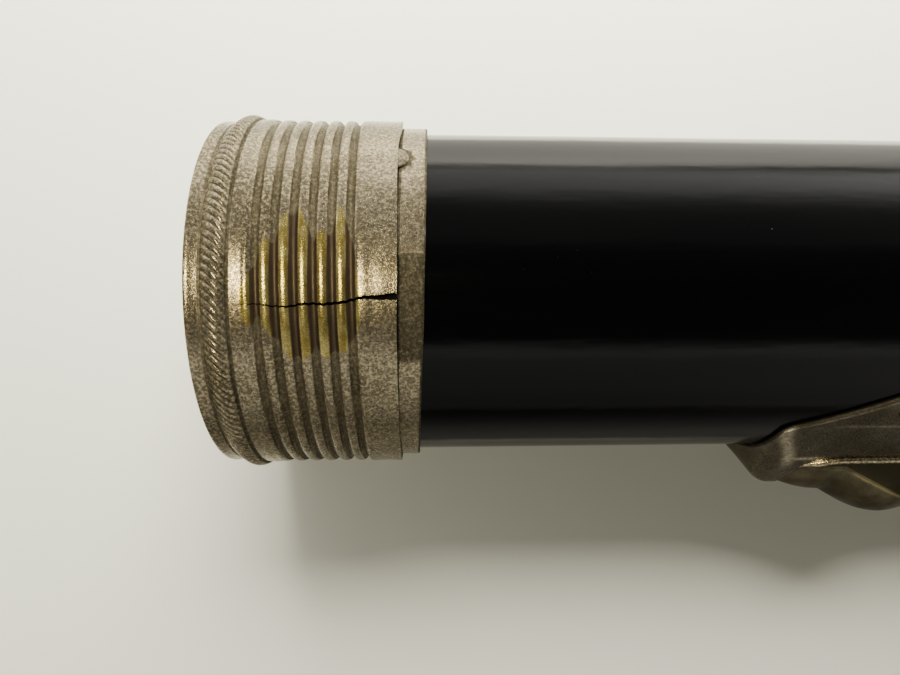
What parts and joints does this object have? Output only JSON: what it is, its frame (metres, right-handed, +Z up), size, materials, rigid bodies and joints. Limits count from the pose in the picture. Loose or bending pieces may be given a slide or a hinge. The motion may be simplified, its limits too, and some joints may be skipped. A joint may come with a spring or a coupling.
{
  "type": "hand torch",
  "caption": "Tubular battery hand torch: black fibre case, riveted nickel ferrules, screw-on end cap with rolled thread, lens ring and side slide switch.",
  "frame": {"origin": "centre of the flat end face of the tail cap", "axes": "+X along the torch from the tail face to the lens, +Z up with the torch lying on its side, and the switch on the -Y side"},
  "size_m": [0.17, 0.0489, 0.0418],
  "materials": {
    "nickel": "nickel plate, aged, mottled and pitted, worn through to brass",
    "worn_nickel": "nickel plate rubbed down to brass on the edges",
    "brass": "dull rolled brass",
    "black_fibre": "polished black vulcanised fibre, lightly scratched",
    "cell_fill": "zinc can with its chemical filling",
    "cell_jacket": "varnished paper",
    "pitch": "poured pitch",
    "spring_steel": "drawn wire",
    "silvered": "polished silver plate",
    "solder": "dull solder and lead wire",
    "glass": "clear, polished",
    "gasket": "pressed cork"
  },
  "bodies": {
    "case": {"tube": "black_fibre", "tail_ferrule": "nickel", "tail_ferrule_rivet_1": "brass", "tail_ferrule_rivet_2": "brass", "head_ferrule": "nickel", "head_ferrule_rivet_1": "brass", "head_ferrule_rivet_2": "brass", "switch_housing": "nickel", "housing_rivet_1": "brass", "housing_rivet_2": "brass", "housing_rivet_3": "brass", "housing_rivet_4": "brass", "tail_contact_strip": "brass", "head_contact_strip": "brass", "cell_1_can": "cell_fill", "cell_1_jacket": "cell_jacket", "cell_1_seal": "pitch", "cell_1_pole": "brass", "cell_2_can": "cell_fill", "cell_2_jacket": "cell_jacket", "cell_2_seal": "pitch", "cell_2_pole": "brass", "contact_disc": "black_fibre", "centre_contact": "brass", "reflector": "silvered", "bulb_socket": "brass", "bulb_base": "brass", "bulb_tip": "solder", "bulb_glass": "glass", "bulb_filament": "solder"},
    "tail_spring": {"spring_seat": "brass", "tail_spring": "spring_steel"},
    "tail_cap": {"tail_cap": "nickel"},
    "lens_carrier": {"lens": "glass", "lens_gasket": "gasket"},
    "lens_ring": {"lens_ring": "nickel"},
    "switch_slide": {"switch_slide": "worn_nickel", "slide_guide_plate": "brass", "slide_contact_shoe": "brass"},
    "flash_button": {"flash_button": "worn_nickel"}
  },
  "joints": [
    {"name": "tail_cap_travel", "type": "slide", "parent": "case", "child": "tail_spring", "axis": [-1, 0, 0], "range_m": [0, 0.00795]},
    {"name": "tail_cap_turn", "type": "hinge", "parent": "tail_spring", "child": "tail_cap", "pos_m": [0, 0, 0], "axis": [-1, 0, 0], "range_deg": [0, 1620]},
    {"name": "lens_ring_travel", "type": "slide", "parent": "case", "child": "lens_carrier", "axis": [1, 0, 0], "range_m": [0, 0.00795]},
    {"name": "lens_ring_turn", "type": "hinge", "parent": "lens_carrier", "child": "lens_ring", "pos_m": [0.17, 0, 0], "axis": [1, 0, 0], "range_deg": [0, 1620]},
    {"name": "switch_slide", "type": "slide", "parent": "case", "child": "switch_slide", "axis": [1, 0, 0], "range_m": [0, 0.006]},
    {"name": "flash_button", "type": "slide", "parent": "case", "child": "flash_button", "axis": [0, 1, 0], "range_m": [0, 0.001], "stiffness_N_per_m": 300}
  ],
  "couplings": [
    {"joint": "tail_cap_travel", "follows": "tail_cap_turn", "m_per_rad": 0.00028011},
    {"joint": "lens_ring_travel", "follows": "lens_ring_turn", "m_per_rad": 0.00028011}
  ]
}
